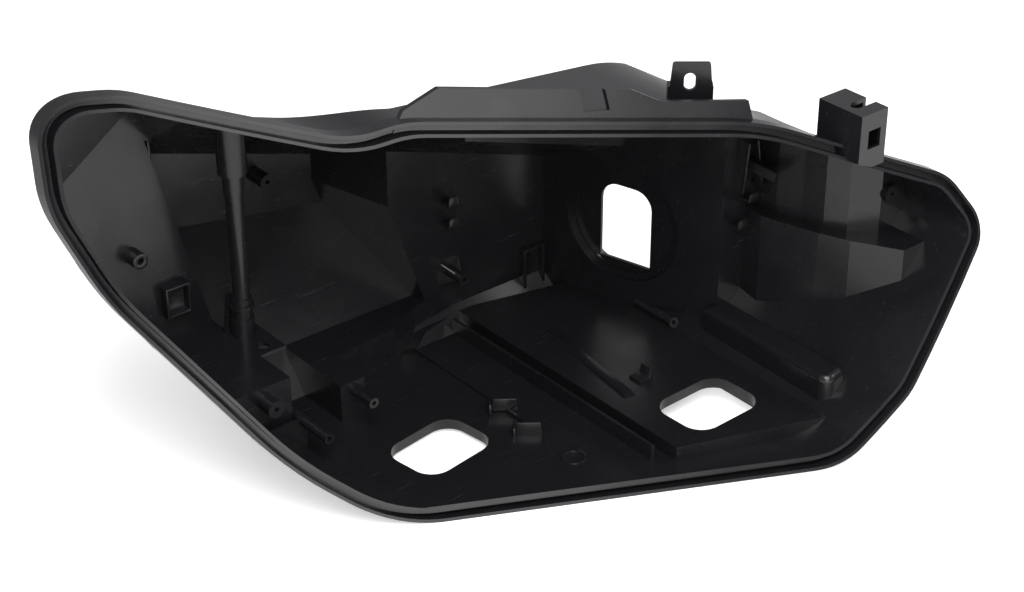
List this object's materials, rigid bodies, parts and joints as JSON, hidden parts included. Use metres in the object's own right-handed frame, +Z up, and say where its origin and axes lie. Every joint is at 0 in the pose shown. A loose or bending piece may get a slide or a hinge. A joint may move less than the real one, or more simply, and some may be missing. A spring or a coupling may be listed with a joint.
{
  "type": "headlamp housing",
  "caption": "Bare black moulded back housing of a car headlamp, open towards the lens, with glue channel, bulb window, floor openings, bosses and fixing tabs.",
  "frame": {"origin": "middle of the footprint at the lowest point of the rim", "axes": "+X across the car towards the grille side, -Y the draw direction and the front of the car, +Z up"},
  "size_m": [0.5634, 0.4126, 0.2866],
  "materials": {
    "black_pp": "satin, moulded"
  },
  "bodies": {
    "root": {"housing": "black_pp"}
  },
  "joints": []
}
